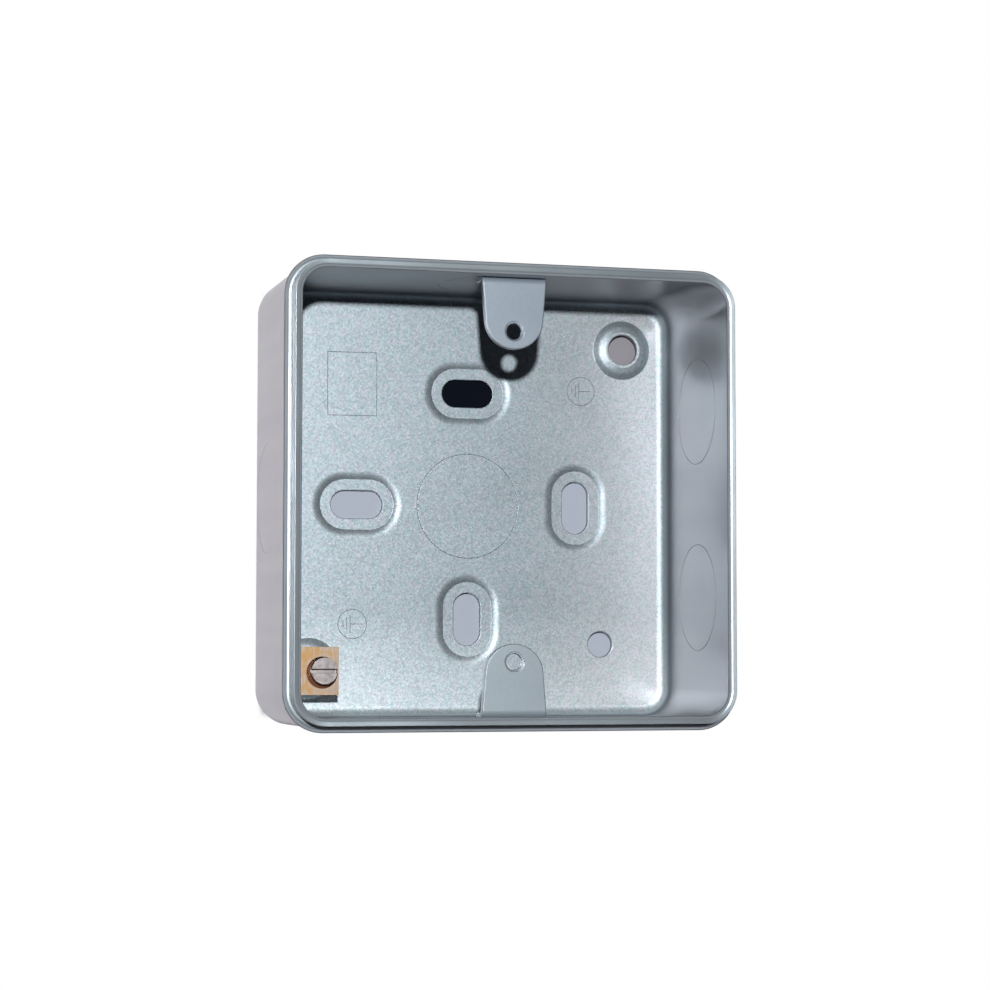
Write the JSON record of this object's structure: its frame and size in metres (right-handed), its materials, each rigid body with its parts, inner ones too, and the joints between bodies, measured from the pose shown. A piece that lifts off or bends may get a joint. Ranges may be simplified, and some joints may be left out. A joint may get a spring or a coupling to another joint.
{
  "type": "electrical back box",
  "caption": "Square pressed-steel surface back box with a stepped rim, knockouts, slotted pads, fixing lugs and an earth terminal.",
  "frame": {"origin": "centre of the square, on the plane of the four pads that the box seats on", "axes": "+Z out of the open front, +Y towards the lug whose corner pair holds the plain boss, +X towards the wall with two knockouts"},
  "size_m": [0.0854, 0.0854, 0.0387],
  "materials": {
    "painted_steel": "silver-grey metallic enamel, fine speckle",
    "brass": "plain machined",
    "plated_screw": "nickel plated"
  },
  "bodies": {
    "root": {"box_shell": "painted_steel", "fixing_lug_top": "painted_steel", "fixing_lug_bottom": "painted_steel", "earth_terminal_block": "brass", "earth_terminal_screw": "plated_screw"}
  },
  "joints": []
}
